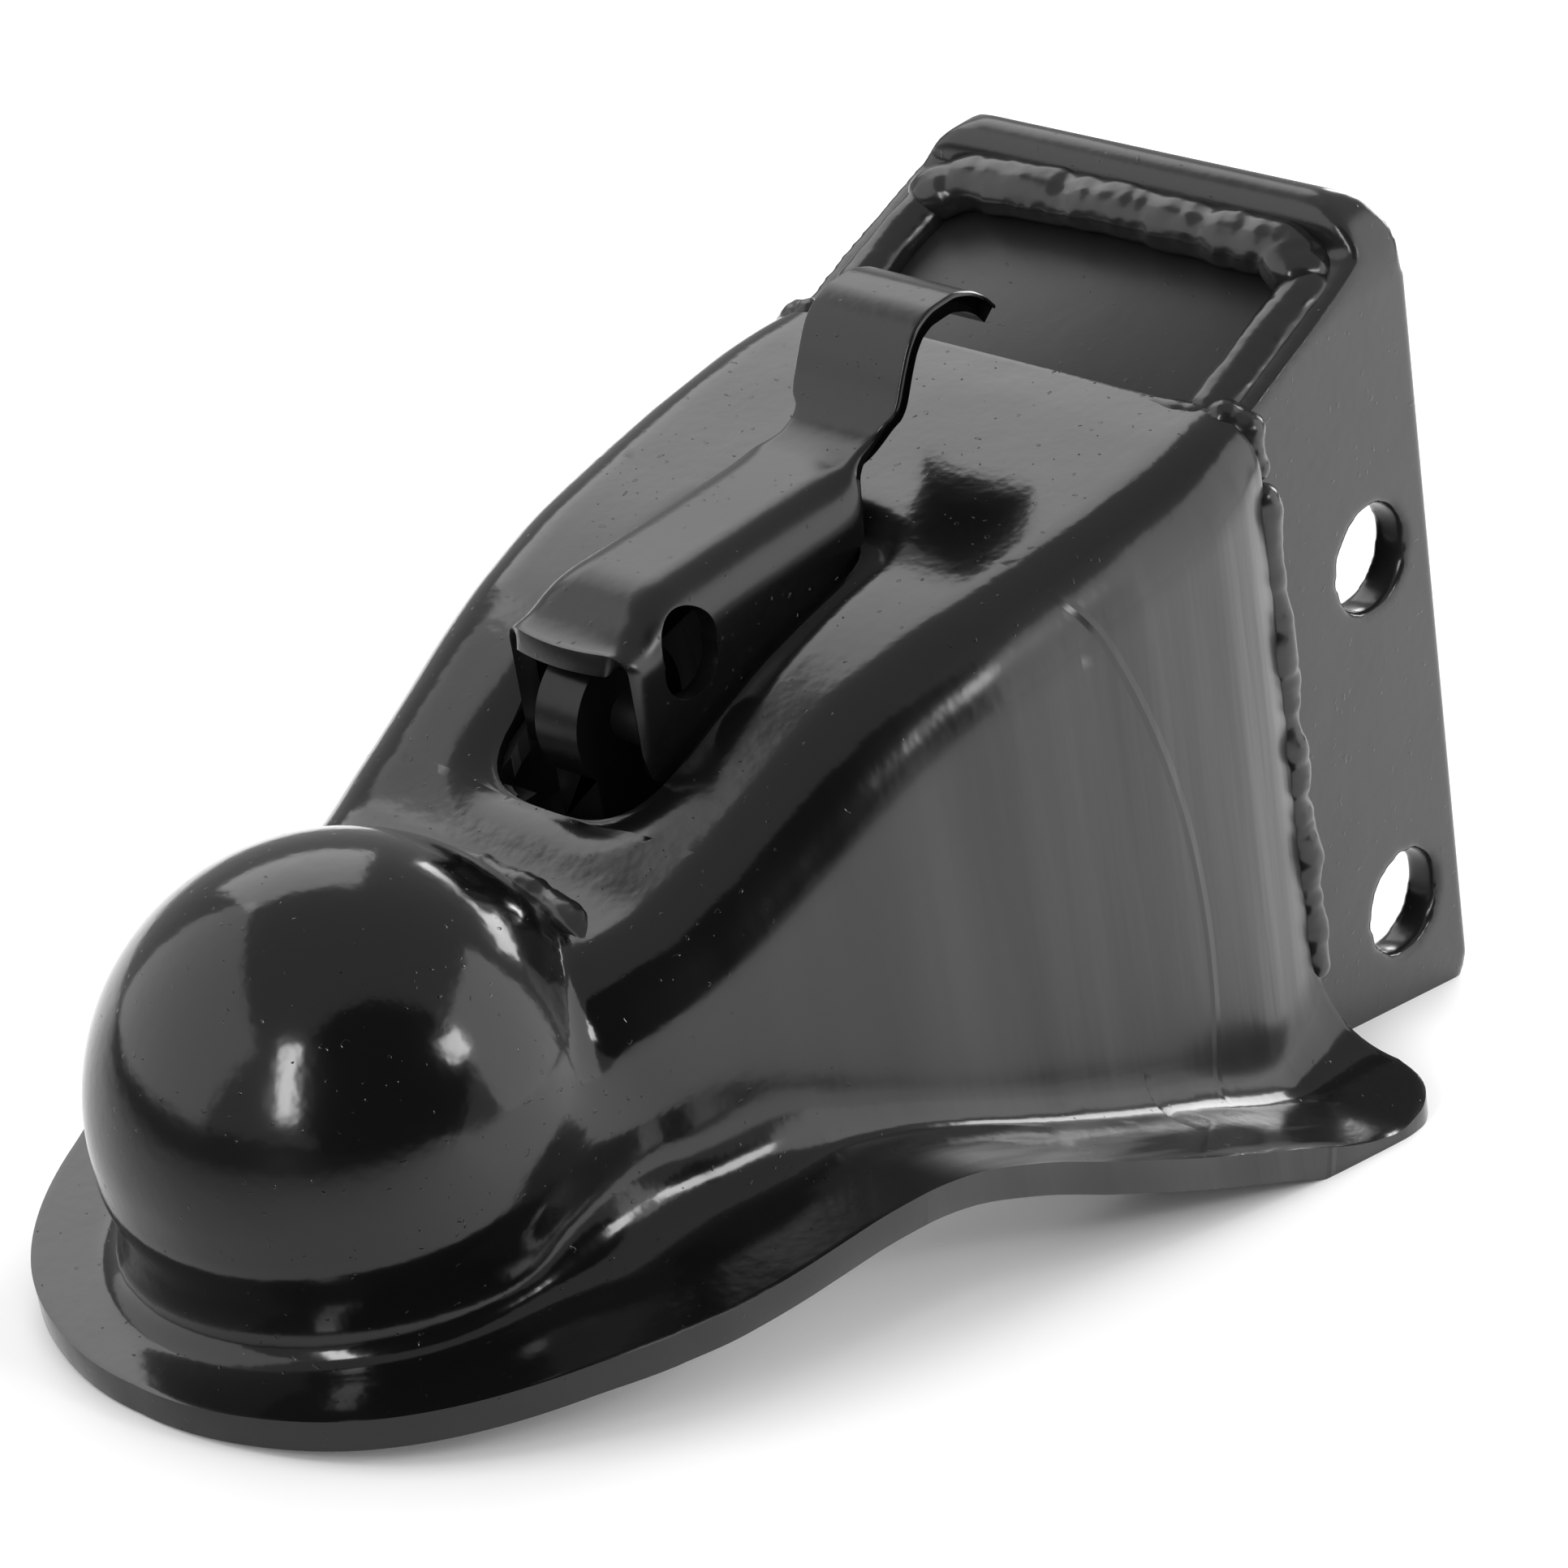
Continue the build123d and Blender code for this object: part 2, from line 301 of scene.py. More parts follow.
# ------------------------------------------------------------------ shared effects
def normal_group(label, build):
    """Node group with one output, Normal; build(g) returns the socket that feeds it."""
    g = bpy.data.node_groups.get(label)
    if g:
        return g
    g = bpy.data.node_groups.new(label, "ShaderNodeTree")
    g.interface.new_socket(name="Normal", in_out="OUTPUT", socket_type="NodeSocketVector")
    out = g.nodes.new("NodeGroupOutput")
    g.links.new(build(g), out.inputs["Normal"])
    return g


def peel_group():
    """Orange peel of sprayed enamel, and faint dust nibs."""
    def build(g):
        wide = bump(g, noise(g, 55, 1.0), 0.10, 0.0022)
        fine = bump(g, noise(g, 420, 1.5), 0.10, 0.00035, wide)
        return bump(g, ramp(g, noise(g, 900, 0.0), 0.80, 0.84), 0.25, 0.0004, fine)
    return normal_group("enamel_peel", build)


def die_mark(g):
    """Curved line the die's edge leaves down each side: a narrow ridge beside a parabola in y and z."""
    place = axes(g, "Object")
    z = math_node(g, "ADD", place["Z"], 0.028)
    bow = math_node(g, "MULTIPLY", math_node(g, "MULTIPLY", z, z), 4.0)
    off = math_node(g, "SUBTRACT", math_node(g, "ADD", place["Y"], bow), 0.1262)
    slope = math_node(g, "MULTIPLY", math_node(g, "ABSOLUTE", off), 900.0)
    return math_node(g, "SUBTRACT", 1.0, math_node(g, "MINIMUM", slope, 1.0))


def draw_group():
    """Draw marks the press leaves down the sides of the body, under the paint."""
    def build(g):
        marks = bump(g, noise(g, 130, 3.0, stretch=(1.0, 1.0, 0.07)), 0.3, 0.0009)
        waves = bump(g, noise(g, 34, 2.0, stretch=(1.0, 1.0, 0.10)), 0.5, 0.004, marks)
        return bump(g, die_mark(g), 0.22, 0.0006, waves)
    return normal_group("draw_marks", build)


def ripple_group():
    """Fine ripple of a weld bead under paint."""
    def build(g):
        wave = bump(g, noise(g, 120, 1.5, stretch=(1.0, 0.45, 1.0)), 0.35, 0.0016)
        return bump(g, noise(g, 420, 1.0), 0.10, 0.0004, wave)
    return normal_group("bead_ripple", build)


# ------------------------------------------------------------------ materials
def use(m, g):
    """Normal output of a shared effect, placed in a material."""
    n = m.node_tree.nodes.new("ShaderNodeGroup")
    n.node_tree = g
    return n.outputs["Normal"]


def shader(m):
    return m.node_tree.nodes["Principled BSDF"]


def material(label, colour, rough, metal=0.0, effect=None, rough_span=0.05, specular=0.5):
    """Principled material whose roughness wanders from rough to rough + rough_span."""
    m = bpy.data.materials.get(label)
    if m:
        return m
    m = bpy.data.materials.new(label)
    m.use_nodes = True
    t, p = m.node_tree, shader(m)
    p.inputs["Base Color"].default_value = (*colour, 1)
    p.inputs["Metallic"].default_value = metal
    p.inputs["Specular IOR Level"].default_value = specular
    low, high = (rough,) * 3 + (1,), (rough + rough_span,) * 3 + (1,)
    t.links.new(ramp(t, noise(t, 18, 3.0), 0.3, 0.7, low, high), p.inputs["Roughness"])
    if effect is not None:
        t.links.new(use(m, effect()), p.inputs["Normal"])
    return m


def flange_highlight_streaks(t, turn, place):
    """How brightly the rear flange's upward face is streaked: turn is its direction."""
    upward = math_node(t, "MULTIPLY", ramp(t, turn["Y"], 0.22, 0.36), ramp(t, turn["Z"], 0.55, 0.80))
    rear = math_node(t, "MULTIPLY", upward, span(t, place["Y"], 0.050, 0.062))
    streaks = ramp(t, noise(t, 90, 3.0, stretch=(1.0, 0.12, 0.3)), 0.40, 0.62)
    return math_node(t, "MULTIPLY", rear, streaks)


def side_paint():
    """Body paint: peel everywhere, draw marks and dusty streaks on the steep sides, and brushed
    streaks along the sunken rear flange."""
    m = bpy.data.materials.get("body_enamel")
    if m:
        return m
    black = settings().paint
    m = material("body_enamel", black, 0.10, rough_span=0.06)
    t, p = m.node_tree, shader(m)
    turn, place = axes(t, "Normal"), axes(t, "Object")
    steep = ramp(t, math_node(t, "ABSOLUTE", turn["X"]), 0.55, 0.9)
    sides = math_node(t, "MULTIPLY", steep, span(t, place["Y"], 0.02, 0.07))
    peel, marks = use(m, peel_group()), use(m, draw_group())
    t.links.new(blend(t, "VECTOR", sides, peel, marks), p.inputs["Normal"])
    streaks = ramp(t, noise(t, 60, 3.0, stretch=(1.0, 1.0, 0.06)), 0.35, 0.75)
    # Streaks on the steep sides lightened towards white: partly dust, partly painted sheen.
    dust_and_sheen = math_node(t, "MULTIPLY", math_node(t, "MULTIPLY", sides, streaks), 0.018)
    # Painted highlight in streaks on the rear flange's upward face.
    bright = math_node(t, "MULTIPLY", flange_highlight_streaks(t, turn, place), 0.20)
    level = math_node(t, "ADD", dust_and_sheen, bright)
    t.links.new(blend(t, "RGBA", level, (*black, 1), (1, 1, 1, 1)), p.inputs["Base Color"])
    plain = p.inputs["Roughness"].links[0].from_socket
    t.links.new(math_node(t, "MULTIPLY_ADD", sides, 0.10, plain), p.inputs["Roughness"])
    return m


def keep_shine(m, where):
    """Leaves the shine only where the value is 1: elsewhere the paint is dry and shaded."""
    t, level = m.node_tree, shader(m).inputs["Specular IOR Level"]
    t.links.new(math_node(t, "MULTIPLY", where, level.default_value), level)
    return m


def painted_shade_inside(m):
    """Walls that face the middle plane are the inside of the hollow body."""
    t = m.node_tree
    facing = math_node(t, "MULTIPLY", axes(t, "Object")["X"], axes(t, "Normal")["X"])
    return keep_shine(m, math_node(t, "GREATER_THAN", facing, -0.006))


def painted_shade_sides(m, reach):
    """Faces turned sideways within reach of the middle plane are inside the latch."""
    t = m.node_tree
    near = math_node(t, "LESS_THAN", math_node(t, "ABSOLUTE", axes(t, "Object")["X"]), reach)
    side = math_node(t, "GREATER_THAN", math_node(t, "ABSOLUTE", axes(t, "Normal")["X"]), 0.8)
    return keep_shine(m, math_node(t, "SUBTRACT", 1.0, math_node(t, "MULTIPLY", near, side)))


def paint(label, rough):
    return material(label, settings().paint, rough, effect=peel_group)


def satin_paint(label, rough):
    return material(label, settings().satin, rough, effect=peel_group)


def weld_paint():
    return material("weld_enamel", settings().satin, 0.20, effect=ripple_group)


def dress(o, mat):
    o.data.materials.clear()
    o.data.materials.append(mat)
    return o


def finish_piece(o, label, mat, nodes, body):
    name(o, label)
    dress(o, mat)
    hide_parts(*nodes)
    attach(o, body)
    return o


# ------------------------------------------------------------------ pressed body
# stations along the tow line (mm): y, half width low, half width high, top, shoulder radius
STATIONS = np.array([
    (0.0, 35.0, 32.0, 14.0, 14.0),
    (20.0, 38.0, 36.5, 16.5, 14.0),
    (34.0, 40.8, 40.5, 19.0, 13.5),
    (46.0, 43.6, 42.6, 23.2, 13.5),
    (56.0, 46.0, 43.6, 27.6, 13.5),
    (68.0, 48.4, 45.2, 32.8, 13.5),
    (80.0, 50.0, 47.0, 36.8, 13.5),
    (95.0, 51.4, 49.4, 39.8, 13.5),
    (110.0, 52.4, 50.9, 41.4, 13.0),
    (125.0, 53.0, 52.0, 42.8, 12.5),
    (138.0, 52.8, 52.2, 44.0, 12.0),
    (147.0, 51.4, 51.2, 44.7, 11.0),
    (155.0, 49.0, 49.0, 45.0, 9.0),
])
# underside of the flange seen from the side: y, z
FLANGE_LINE = np.array([(-60.0, -26.0), (20.0, -26.0), (34.0, -26.4), (45.0, -27.6), (55.0, -30.0),
                        (68.0, -35.4), (82.0, -42.6), (105.0, -53.9), (114.0, -58.2), (134.0, -68.0),
                        (140.0, -69.5), (160.0, -69.6)])
# half outline of the flange seen from above: x, y
FLANGE_PLAN = np.array([(0.0, -47.5), (17.5, -45.0), (33.0, -37.4), (45.0, -25.2), (53.0, -11.5),
                        (58.2, -1.0), (62.0, 10.0), (64.3, 24.0), (65.2, 40.0), (65.8, 55.0),
                        (67.6, 70.0), (71.0, 85.0), (74.3, 105.0), (76.0, 126.0), (76.2, 139.5),
                        (75.5, 145.0), (73.2, 149.6), (69.4, 153.0), (64.0, 155.0)])
FLANGE_T = 5.0
# how widely the wall runs out into the flange along the tow line
FOOT_BLEND = np.array([(-60.0, 5.5), (-8.0, 5.5), (16.0, 12.0), (38.0, 12.0), (57.0, 7.5), (72.0, 6.5),
                       (136.0, 7.0), (148.0, 12.0), (155.0, 17.0)])


def curve(xs, ys):
    """Smooth monotone interpolation through points."""
    xs, ys = np.asarray(xs, float), np.asarray(ys, float)
    d = np.diff(ys) / np.diff(xs)
    m = np.zeros_like(ys)
    m[1:-1] = np.where(d[:-1] * d[1:] > 0, 2 * d[:-1] * d[1:] / np.where(d[:-1] + d[1:] == 0, 1,
                                                                     d[:-1] + d[1:]), 0)
    m[0], m[-1] = d[0], d[-1]

    def f(x):
        x = np.clip(np.asarray(x, float), xs[0], xs[-1])
        i = np.clip(np.searchsorted(xs, x) - 1, 0, len(xs) - 2)
        h = xs[i + 1] - xs[i]
        t = (x - xs[i]) / h
        return ((2 * t**3 - 3 * t**2 + 1) * ys[i] + (t**3 - 2 * t**2 + t) * h * m[i]
                + (-2 * t**3 + 3 * t**2) * ys[i + 1] + (t**3 - t**2) * h * m[i + 1])
    return f


def smin(a, b, k):
    h = np.clip(0.5 + 0.5 * (b - a) / k, 0, 1)
    return b + (a - b) * h - k * h * (1 - h)


class Shell:
    """Distance-like law of the pressed body: dome, neck and box, blended into the flange."""

    def __init__(self, dome):
        self.dome = dome
        s = STATIONS
        self.low, self.high, self.top, self.rad = (curve(s[:, 0], s[:, k]) for k in range(1, 5))
        self.fl = curve(FLANGE_LINE[:, 0], FLANGE_LINE[:, 1])
        self.blend = curve(FOOT_BLEND[:, 0], FOOT_BLEND[:, 1])

    def __call__(self, x, y, z):
        R = self.dome
        rho = np.sqrt(x * x + y * y)
        foot = np.clip((-4.0 - z) / 10.0, 0, 1)
        ball = np.sqrt(rho * rho + np.maximum(z, 0) ** 2) - R + 1.8 * foot * foot * (3 - 2 * foot)
        yy = np.maximum(y, 0)
        t, r = self.top(yy), self.rad(yy)
        f = np.clip((z + 25.0) / (t + 25.0), -1.0, 1)
        w = self.low(yy) + (self.high(yy) - self.low(yy)) * f
        qx, qz = np.abs(x) - w + r, z - t + r
        hull = np.hypot(np.maximum(qx, 0), np.maximum(qz, 0)) + np.minimum(np.maximum(qx, qz), 0) - r
        hull = hull + 0.007 * np.maximum(30.0 - y, 0) ** 2 + 0.02 * np.maximum(12.0 - y, 0) ** 2
        lower = np.clip((12.0 - z) / 30.0, 0, 1)
        body = smin(ball, hull, 2.6 + 10.0 * lower)
        top = (z - self.fl(y) - FLANGE_T) * 0.93
        return smin(body, top, self.blend(y))


# heights (mm) between which the sheet's top is looked for, and the small step of a slope
SEARCH, NUDGE = (-60.0, 70.0), 0.02


def slope(at, rho, z):
    return ((at(rho + NUDGE, z) - at(rho - NUDGE, z)) / (2 * NUDGE),
            (at(rho, z + NUDGE) - at(rho, z - NUDGE)) / (2 * NUDGE))


def height_on(at, rho):
    """Height of the law's surface straight above each start point, by halving."""
    lo, hi = np.full(len(rho), SEARCH[0]), np.full(len(rho), SEARCH[1])
    for _ in range(40):
        mid = (lo + hi) / 2
        inside = at(rho, mid) < 0
        lo, hi = np.where(inside, mid, lo), np.where(inside, hi, mid)
    return (lo + hi) / 2


def walk(at, rho, end, step=0.35, limit=900):
    """Steps outward along the surface in every plane at once, until all are past their ends."""
    z = height_on(at, rho)
    path_r, path_z = [rho.copy()], [z.copy()]
    for _ in range(limit):
        gr, gz = slope(at, rho, z)
        g = np.hypot(gr, gz) + 1e-9
        rho, z = rho + gz / g * step, z - gr / g * step
        for _ in range(3):
            v = at(rho, z)
            gr, gz = slope(at, rho, z)
            g2 = gr * gr + gz * gz + 1e-9
            rho, z = rho - v * gr / g2, z - v * gz / g2
        path_r.append(rho.copy())
        path_z.append(z.copy())
        if np.all(rho >= end):
            break
    return np.array(path_r), np.array(path_z)


def even_points(r, z, end, count):
    """A walked path cut off at end, as evenly spaced points."""
    stop = int(np.argmax(r >= end)) or len(r) - 1
    r, z = r[:stop + 1], z[:stop + 1]
    f = (end - r[-2]) / max(r[-1] - r[-2], 1e-6)
    r = np.append(r[:-1], end)
    z = np.append(z[:-1], z[-2] + (z[-1] - z[-2]) * min(f, 1))
    s = np.concatenate([[0], np.cumsum(np.hypot(np.diff(r), np.diff(z)))])
    q = np.linspace(0, s[-1], count)
    return np.interp(q, s, r), np.interp(q, s, z)


def trace(law, origin, heading, start, end, count):
    """Follows the law's outline in a family of upright planes.
    origin and heading place each plane; start and end are distances along it."""
    def at(rho, z):
        return law(origin[:, 0] + heading[:, 0] * rho, origin[:, 1] + heading[:, 1] * rho, z)
    path_r, path_z = walk(at, start, end)
    rows = []
    for i in range(len(start)):
        r, z = even_points(path_r[:, i], path_z[:, i], end[i], count)
        rows.append(np.stack([origin[i, 0] + heading[i, 0] * r, origin[i, 1] + heading[i, 1] * r, z], 1))
    return rows


SLOT_Y = (46.0, 108.0)


def slot_half(y, half):
    """Half width of the slot at y: squarish round ends, straight sides."""
    a, b = SLOT_Y
    d = np.clip(np.minimum(y - a, b - y), 0, half)
    return half * np.maximum(1 - (1 - d / half) ** 3, 0) ** (1 / 3) * (d > 0)


def roll_rim(pts, half, reach=7.0, drop=1.5, corner=8.5):
    """Sinks the sheet towards the slot, so its rim is rolled in."""
    a, b = SLOT_Y
    qx = np.maximum(np.abs(pts[:, 0]) - half + corner, 0)
    qy = np.maximum(np.abs(pts[:, 1] - (a + b) / 2) - (b - a) / 2 + corner, 0)
    d = np.clip(np.hypot(qx, qy) - corner, 0, reach)
    out = pts.copy()
    out[:, 2] -= np.where(pts[:, 2] > 10, drop * (1 - d / reach) ** 2, 0)
    return out


def dome_rows(law, count):
    """Sheet rows that fan out from the dome's top over the nose."""
    px, py = FLANGE_PLAN[:8, 0], FLANGE_PLAN[:8, 1]
    reach = curve(np.arctan2(px, -py), np.hypot(px, py))
    phi = np.linspace(0, math.pi / 2, 46)
    heading = np.stack([np.sin(phi), -np.cos(phi)], 1)
    return trace(law, np.zeros((len(phi), 2)), heading, np.zeros(len(phi)), reach(phi), count)


def box_rows(law, half, count):
    """Sheet rows across the neck and the box, closer together where the shape turns."""
    a, b = SLOT_Y
    turn = np.array([0, .01, .05, .13, .27, .5, .85, 1.3, 2.0, 3.0, 4.4, 6.2, 8.5, 11.0, 14.0])
    ys = np.concatenate([np.linspace(0, 28, 20)[1:], np.linspace(28, 38, 15)[1:], np.linspace(38, a, 6)[1:-1],
                         a + turn, np.linspace(a + half, b - half, 16), b - turn[::-1],
                         np.linspace(b, 140, 14)[1:], np.linspace(140, 155, 15)[1:]])
    origin = np.stack([np.zeros(len(ys)), ys], 1)
    heading = np.tile([1.0, 0.0], (len(ys), 1))
    edge = curve(FLANGE_PLAN[5:, 1], FLANGE_PLAN[5:, 0])
    return trace(law, origin, heading, slot_half(ys, half), edge(ys), count)


def build_body():
    c = settings()
    law, half, count = Shell(c.dome_radius / MM), c.slot_width / MM / 2, 92
    rows = [roll_rim(r, half) * MM for r in dome_rows(law, count) + box_rows(law, half, count)]
    o = mirrored_sheet("body", rows, 2e-5)
    modifier(o, "SOLIDIFY", thickness=c.wall, offset=-1.0, use_even_offset=True, use_quality_normals=True,
             thickness_clamp=0.0)
    modifier(o, "BEVEL", width=0.0010, segments=3, limit_method="ANGLE", angle_limit=math.radians(55),
             use_clamp_overlap=True)
    smooth(o, 50)
    # The body's inner walls get painted shade: their shine is taken off.
    return finish_piece(o, "body", painted_shade_inside(side_paint()), ["coupler_body"], "frame")


# ------------------------------------------------------------------ mounting band
BAND_TOP, BAND_LOW, BAND_FRONT, BAND_DEPTH = 63.3, -80.0, 140.0, 62.0
BAND_OUTER_R, BAND_INNER_R = 13.0, 6.5
BOLT_Y, BOLT_Z = 184.2, (6.2, -57.3)
# front and rear top corner of the face plate: y, z; and its thickness
FACE_LINE, FACE_T = ((150.5, 38.8), (192.2, 54.2)), 4.5


def arc(cx, cy, r, a0, a1, n):
    return [(cx + r * math.cos(math.radians(a0 + (a1 - a0) * k / n)),
             cy + r * math.sin(math.radians(a0 + (a1 - a0) * k / n))) for k in range(n + 1)]


def band_section(w, t):
    """Outline of the upside-down U seen along the tow line."""
    top, low, ro, ri = BAND_TOP, BAND_LOW, BAND_OUTER_R, BAND_INNER_R
    outer = arc(w - ro, top - ro, ro, 0, 90, 12) + arc(-w + ro, top - ro, ro, 90, 180, 12)
    inner = arc(-w + t + ri, top - t - ri, ri, 180, 90, 10) + arc(w - t - ri, top - t - ri, ri, 90, 0, 10)
    return [(w, low), *outer, (-w, low), (-w + t, low), *inner, (w - t, low)]


def band_side():
    """Outline of the band seen from the side."""
    top, low = BAND_TOP, BAND_LOW
    return [(142.0, -71.0), (149.0, low), (194.5, low), *arc(194.5, low + 4.5, 4.5, -90, 0, 6),
            *arc(194.0, top - 5.0, 5.0, 0, 195, 12), (189.6, 55.9), (156.0, 43.0), (154.0, 36.0),
            (142.0, 30.0)]


def build_band():
    c = settings()
    section = band_section(c.plate_half / MM, c.plate_thick / MM)
    o = prism(section, "Y", BAND_FRONT, BAND_DEPTH)
    combine(o, prism(band_side(), "X", -70.0, 140.0), "INTERSECT")
    for z in BOLT_Z:
        combine(o, cylinder((0, BOLT_Y, z), "X", c.hole_radius / MM, 120, 96), "DIFFERENCE")
    outward(o)
    modifier(o, "REMESH", mode="VOXEL", voxel_size=0.9 * MM)
    modifier(o, "SMOOTH", factor=0.5, iterations=9)
    smooth(o, 180)
    return finish_piece(o, "band", satin_paint("band_enamel", 0.2), ["mount_band"], "frame")


def build_face():
    c = settings()
    w = c.plate_half / MM - c.plate_thick / MM
    (ya, za), (yb, zb) = FACE_LINE
    n = math.hypot(yb - ya, zb - za)
    dy, dz = (zb - za) / n * FACE_T, -(yb - ya) / n * FACE_T
    o = prism([(ya, za), (yb, zb), (yb + dy, zb + dz), (ya + dy, za + dz)], "X", -w + 0.1, 2 * w - 0.2)
    modifier(o, "BEVEL", width=0.0006, segments=2, limit_method="ANGLE", angle_limit=math.radians(35))
    smooth(o, 35)
    return finish_piece(o, "face", satin_paint("face_enamel", 0.40), ["face_plate"], "frame")


# ------------------------------------------------------------------ weld beads
FACE_EDGE = 38.5                    # half width of the face plate's mouth
RIPPLE = 10.0                       # size of a bead's lumps


def wrinkle(label, size):
    """Cloud texture that roughens a bead's shape."""
    t = bpy.data.textures.get(label) or bpy.data.textures.new(label, type="CLOUDS")
    t.noise_scale = size * MM
    t.noise_depth = 1
    return t


def along(pts, distance):
    """Point at a distance along a path of straight runs."""
    i, d = 0, distance
    while i < len(pts) - 2 and d > (pts[i + 1] - pts[i]).length:
        d -= (pts[i + 1] - pts[i]).length
        i += 1
    return pts[i].lerp(pts[i + 1], min(d / (pts[i + 1] - pts[i]).length, 1))


def bead(label, path, size, node, seed, lump=0.1, voxel=0.5, step=0.26, flat=0.6, rough=0.5, soft=6):
    """Uneven weld bead: overlapping flattened balls along a path, fused, wrinkled and softened."""
    rnd = random.Random(seed)
    pts = [Vector(p) for p in path]
    total = sum((b - a).length for a, b in zip(pts[:-1], pts[1:]))
    balls, s, drift = [], 0.0, 0.0
    while s <= total:
        p = along(pts, s)
        drift = 0.8 * drift + 0.2 * rnd.uniform(-1, 1)
        r = size * (1 + lump * drift * 2.4)
        jog = [rnd.uniform(-1, 1) * size * lump * k for k in (0.4, 0.4, 0.25)]
        deselect()
        bpy.ops.mesh.primitive_ico_sphere_add(subdivisions=2, radius=r * MM,
                                              location=[(a + b) * MM for a, b in zip(p, jog)])
        bpy.context.object.scale = (1, 1, flat)
        balls.append(bpy.context.object)
        s += size * step
    o = freeze(join(balls))
    modifier(o, "REMESH", mode="VOXEL", voxel_size=voxel * MM)
    modifier(o, "SMOOTH", factor=0.5, iterations=soft)
    modifier(o, "DISPLACE", texture=wrinkle("bead_wrinkle", RIPPLE), texture_coords="GLOBAL",
             strength=rough * 4.0 * MM, mid_level=0.5)
    modifier(o, "SMOOTH", factor=0.5, iterations=3)
    smooth(o, 180)
    return finish_piece(o, label, weld_paint(), [node], "frame")


def face_top_bead():
    w = FACE_EDGE
    path = [(-w + 2, 184.4, 53.2), (-w + 7, 187.6, 55.2), (0, 188.4, 55.7), (w - 7, 187.6, 55.2),
            (w - 2, 184.4, 53.2)]
    bead("bead_top", path, 5.7, "weld_face_top", 3, 0.10, flat=0.8, rough=0.30)


def flank_beads(s, side):
    """Beads on one flank: face plate's edge, corner blob, and body to band. s is -1 or 1."""
    w = FACE_EDGE
    path = [(s * (w - 0.4), 158.5, 42.4), (s * (w - 0.2), 172, 47.4), (s * (w - 0.4), 184, 51.8)]
    bead("bead_" + side, path, 4.6, "weld_face_" + side, 5 + s, 0.05, flat=0.9, rough=0.22)
    path = [(s * 41.5, 156.6, 43.0), (s * 44.8, 157.0, 41.0), (s * 46.6, 156.8, 35.0)]
    bead("bead_corner_" + side, path, 3.6, "weld_corner_" + side, 11 + s, 0.30, 0.45, step=0.5,
         flat=1.0, rough=0.5, soft=2)
    path = [(s * (47.2 + 0.5 * math.sin(k * 1.7)), 156.2 + 0.5 * math.sin(k * 2.3), 31.0 - 84.0 * k / 16)
            for k in range(17)]
    bead("bead_side_" + side, path, 3.1, "weld_side_" + side, 17 + s, 0.16, 0.5, flat=1.0, rough=0.4)


def body_top_bead():
    """Across the box's rear edge, following its slight crown."""
    w = 38
    path = [(x, 154.8 - 1.2 * (1 - (x / w) ** 2), 43.3 - 0.9 * (1 - (x / w) ** 2))
            for x in np.linspace(-w, w, 15)]
    bead("bead_body", path, 2.3, "weld_body_top", 23, 0.12, 0.45, flat=0.9, rough=0.2)


def dome_bead():
    half = [(0, 32.6, 19.4), (8, 32.0, 19.1), (14, 31.0, 18.7), (20, 29.2, 17.9), (26, 27.3, 16.0),
            (30, 26.5, 13.4), (33, 27.0, 10.6)]
    path = [(-x, y, z) for x, y, z in reversed(half[1:])] + half
    bead("bead_dome", path, 2.5, "weld_dome", 29, 0.14, 0.42, flat=0.7, rough=0.45, soft=3)


def build_welds():
    face_top_bead()
    for s, side in ((-1, "left"), (1, "right")):
        flank_beads(s, side)
    body_top_bead()
    dome_bead()


# ------------------------------------------------------------------ lever
# along the lever (mm): y, z of the top sheet; half width; corner radius; depth of the wall below it
LEVER_STATIONS = np.array([
    (55.6, 45.3, 12.0, 3.4, 13.0), (56.2, 45.1, 12.5, 3.6, 16.4), (57.2, 45.2, 12.9, 4.0, 17.2),
    (58.6, 45.7, 13.0, 4.8, 17.2), (60.4, 46.8, 13.0, 5.8, 17.4), (62.6, 48.3, 13.0, 6.8, 17.8),
    (65.2, 49.4, 13.0, 7.4, 17.6), (67.6, 49.9, 13.0, 7.8, 17.0), (69.5, 50.0, 13.0, 7.8, 16.4),
    (76.0, 50.0, 13.0, 7.8, 15.0), (88.0, 50.0, 13.0, 7.8, 12.4), (100.5, 50.0, 13.0, 7.6, 10.0),
    (103.6, 50.0, 12.9, 7.2, 9.2), (105.4, 50.0, 12.7, 6.6, 6.4), (106.6, 50.0, 12.3, 5.8, 3.4),
    (107.6, 50.0, 11.8, 4.8, 1.0), (108.8, 50.05, 10.8, 3.4, 0.4), (110.5, 50.2, 9.5, 2.2, 0.2),
    (113.0, 50.6, 8.6, 1.4, 0.1), (115.4, 51.4, 8.5, 0.9, 0.1), (117.2, 52.7, 9.0, 0.7, 0.1),
    (118.2, 54.0, 10.2, 0.6, 0.1), (119.4, 56.0, 10.6, 0.6, 0.1), (121.6, 60.4, 10.6, 0.6, 0.1),
    (123.6, 63.6, 10.6, 0.6, 0.1), (126.4, 65.9, 10.5, 0.6, 0.1), (130.0, 67.1, 10.5, 0.6, 0.1),
    (134.0, 67.2, 10.5, 0.6, 0.1), (138.0, 66.1, 10.5, 0.6, 0.1), (141.5, 63.9, 10.4, 0.6, 0.1),
    (144.0, 61.2, 10.2, 0.6, 0.1),
])
TAB_START, TAB_BLEND = 117.0, 6.0       # where the walls stop hanging straight down
LIP_BOW, LIP_REACH = 2.2, 5.0           # how far the front lip bows forward in the middle
ROWS_ALONG = 150
PIN_Y, PIN_Z, PIN_HOLE = 61.5, 31.0, 4.05
SIDE_HOLE, SIDE_HOLE_R = ((67.2, 38.9), (67.5, 41.6)), 5.6


